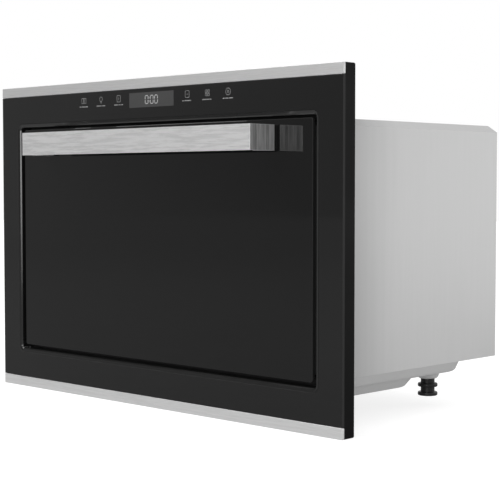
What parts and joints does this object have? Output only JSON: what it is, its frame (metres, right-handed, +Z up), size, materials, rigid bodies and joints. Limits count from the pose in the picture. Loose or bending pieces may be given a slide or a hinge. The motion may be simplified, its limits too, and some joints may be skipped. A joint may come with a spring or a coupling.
{
  "type": "microwave drawer",
  "caption": "Built-in microwave oven whose tub slides out on telescopic rails behind a black glass front with a bar handle and touch keys.",
  "frame": {"origin": "midway between the sides, on the plane where the back of the front frame meets the cabinet's front, at the height of the shelf the feet stand on", "axes": "+X to the right seen from the room, +Y into the cabinet, +Z up"},
  "size_m": [0.606, 0.367, 0.4016],
  "materials": {
    "black_glass": "polished, painted black behind",
    "brushed_metal": "brushed along its length",
    "frame_black": "fine satin",
    "trim_black": "semi-gloss",
    "body_metal": "plain galvanised sheet",
    "pan_metal": "pressed galvanised sheet",
    "inner_metal": "bright sheet",
    "cavity_metal": "satin stainless",
    "rail_metal": "bright zinc",
    "screw_metal": "bright zinc",
    "black_plastic": "moulded",
    "grey_plastic": "moulded",
    "white_plastic": "moulded",
    "tub_plastic": "smooth",
    "ceramic_glass": "smooth",
    "soft_rubber": "matte",
    "board_green": "solder mask",
    "lamination": "varnished",
    "copper_winding": "enamelled",
    "can_aluminium": "drawn",
    "ferrite": "sintered",
    "duct_plastic": "moulded"
  },
  "bodies": {
    "cabinet": {"front_frame": "frame_black", "front_glass": "black_glass", "trim_strips": "brushed_metal", "opening_trim": "trim_black", "touch_board": "board_green", "display_module": "trim_black", "touch_springs": "rail_metal", "outer_wrapper": "body_metal", "rear_panel": "body_metal", "mains_gland": "black_plastic", "base_pan": "pan_metal", "foot_nuts": "screw_metal", "front_plate": "inner_metal", "cavity": "cavity_metal", "cavity_stands": "inner_metal", "outer_rails": "rail_metal", "rail_spacers": "inner_metal", "interlock_switches": "black_plastic", "interlock_bracket": "inner_metal", "waveguide": "inner_metal", "stirrer_cover": "white_plastic", "stirrer_motor": "screw_metal", "magnetron_yoke": "inner_metal", "magnetron_anode": "can_aluminium", "magnetron_magnets": "ferrite", "transformer_core": "lamination", "transformer_windings": "copper_winding", "capacitor": "can_aluminium", "capacitor_clamp": "inner_metal", "power_board": "board_green", "noise_filter": "board_green", "cavity_lamp": "black_plastic", "thermal_cutouts": "black_plastic", "fan_shroud": "duct_plastic", "fan_motor": "lamination", "air_duct": "duct_plastic", "chassis_screws": "screw_metal"},
    "drawer": {"drawer_glass": "black_glass", "drawer_tray": "frame_black", "choke_panel": "cavity_metal", "choke_cover": "grey_plastic", "bumpers": "soft_rubber", "handle": "brushed_metal", "handle_spacers": "black_plastic", "handle_screws": "screw_metal", "tub": "tub_plastic", "floor_plate": "ceramic_glass", "inner_rails": "rail_metal", "rail_arms": "inner_metal", "interlock_strikers": "white_plastic"},
    "middle_rails": {"middle_rails": "rail_metal"},
    "outer_cages": {"outer_ball_cages": "rail_metal"},
    "inner_cages": {"inner_ball_cages": "rail_metal"},
    "stirrer": {"stirrer": "can_aluminium"},
    "impeller": {"fan_impeller": "duct_plastic"},
    "plungers": {"interlock_plungers": "white_plastic"},
    "front_left_foot": {"front_left_foot": "black_plastic"},
    "front_right_foot": {"front_right_foot": "black_plastic"},
    "rear_left_foot": {"rear_left_foot": "black_plastic"},
    "rear_right_foot": {"rear_right_foot": "black_plastic"}
  },
  "joints": [
    {"name": "drawer_slide", "type": "slide", "parent": "cabinet", "child": "drawer", "axis": [0, -1, 0], "range_m": [0, 0.275]},
    {"name": "middle_rail_slide", "type": "slide", "parent": "cabinet", "child": "middle_rails", "axis": [0, -1, 0], "range_m": [0, 0.1375]},
    {"name": "outer_cage_slide", "type": "slide", "parent": "cabinet", "child": "outer_cages", "axis": [0, -1, 0], "range_m": [0, 0.06875]},
    {"name": "inner_cage_slide", "type": "slide", "parent": "cabinet", "child": "inner_cages", "axis": [0, -1, 0], "range_m": [0, 0.20625]},
    {"name": "plunger_slide", "type": "slide", "parent": "cabinet", "child": "plungers", "axis": [0, -1, 0], "range_m": [0, 0.002]},
    {"name": "stirrer_spin", "type": "hinge", "parent": "cabinet", "child": "stirrer", "pos_m": [-0.038, 0.146, 0.262], "axis": [0, 0, 1], "continuous": true},
    {"name": "impeller_spin", "type": "hinge", "parent": "cabinet", "child": "impeller", "pos_m": [0.229, 0.29, 0.214], "axis": [0, 1, 0], "continuous": true},
    {"name": "front_left_foot_screw", "type": "slide", "parent": "cabinet", "child": "front_left_foot", "axis": [0, 0, -1], "range_m": [0, 0.01]},
    {"name": "front_right_foot_screw", "type": "slide", "parent": "cabinet", "child": "front_right_foot", "axis": [0, 0, -1], "range_m": [0, 0.01]},
    {"name": "rear_left_foot_screw", "type": "slide", "parent": "cabinet", "child": "rear_left_foot", "axis": [0, 0, -1], "range_m": [0, 0.01]},
    {"name": "rear_right_foot_screw", "type": "slide", "parent": "cabinet", "child": "rear_right_foot", "axis": [0, 0, -1], "range_m": [0, 0.01]}
  ],
  "couplings": [
    {"joint": "middle_rail_slide", "follows": "drawer_slide", "ratio": 0.5},
    {"joint": "outer_cage_slide", "follows": "drawer_slide", "ratio": 0.25},
    {"joint": "inner_cage_slide", "follows": "drawer_slide", "ratio": 0.75},
    {"joint": "plunger_slide", "follows": "drawer_slide", "ratio": 0.0072}
  ]
}
